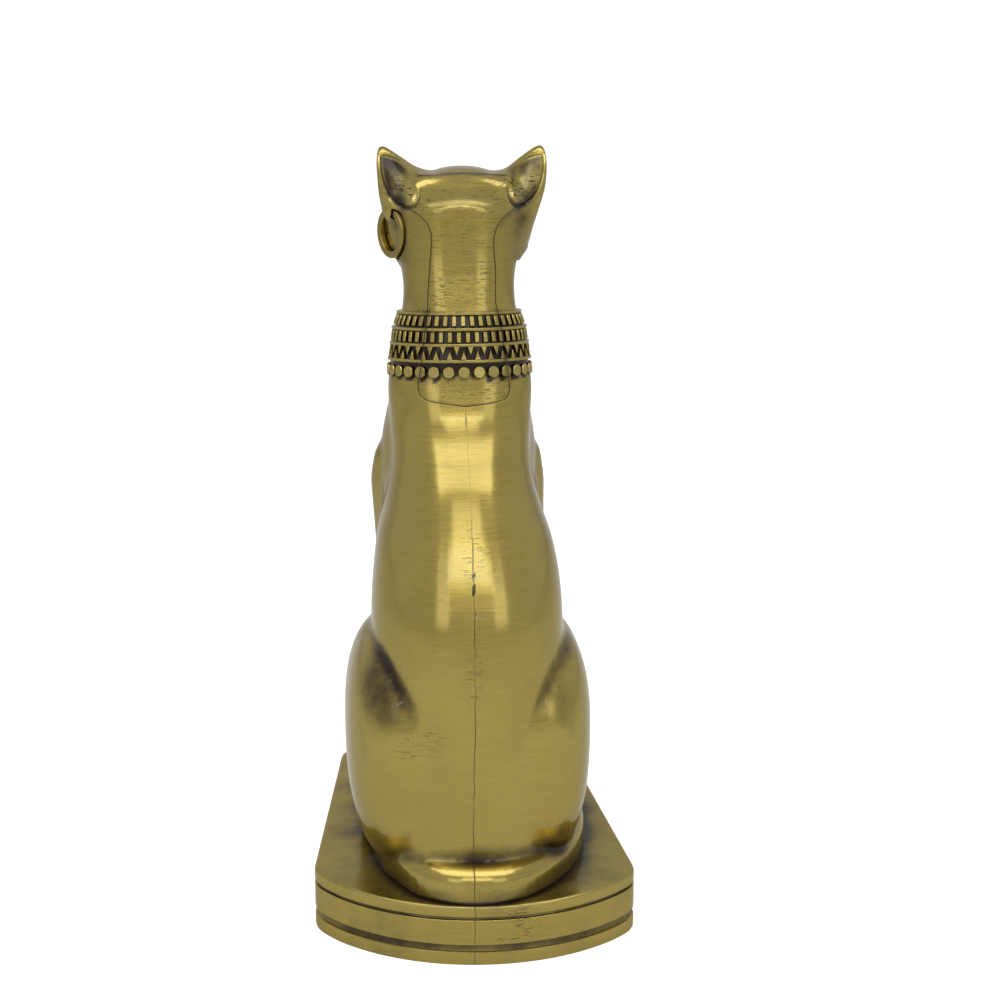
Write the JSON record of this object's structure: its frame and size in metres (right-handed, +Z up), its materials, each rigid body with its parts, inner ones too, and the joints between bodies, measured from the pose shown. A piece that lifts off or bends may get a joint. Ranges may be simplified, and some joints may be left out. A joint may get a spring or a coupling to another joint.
{
  "type": "seated cat figurine",
  "caption": "Seated cat with a beaded collar and one hoop earring, cast in one with a D-shaped plinth; an ornament that stands on a shelf by its own weight.",
  "frame": {"origin": "middle of the underside, where the plinth rests on the shelf", "axes": "+Z up through the cat, -Y the way the cat faces, +X its left side"},
  "size_m": [0.075, 0.1024, 0.18],
  "materials": {
    "antique_brass": "antiqued plating over die casting, brushed, dark in the recesses",
    "earring_brass": "antiqued plating, smooth"
  },
  "bodies": {
    "root": {"cat_figure": "antique_brass", "earring": "earring_brass"}
  },
  "joints": []
}
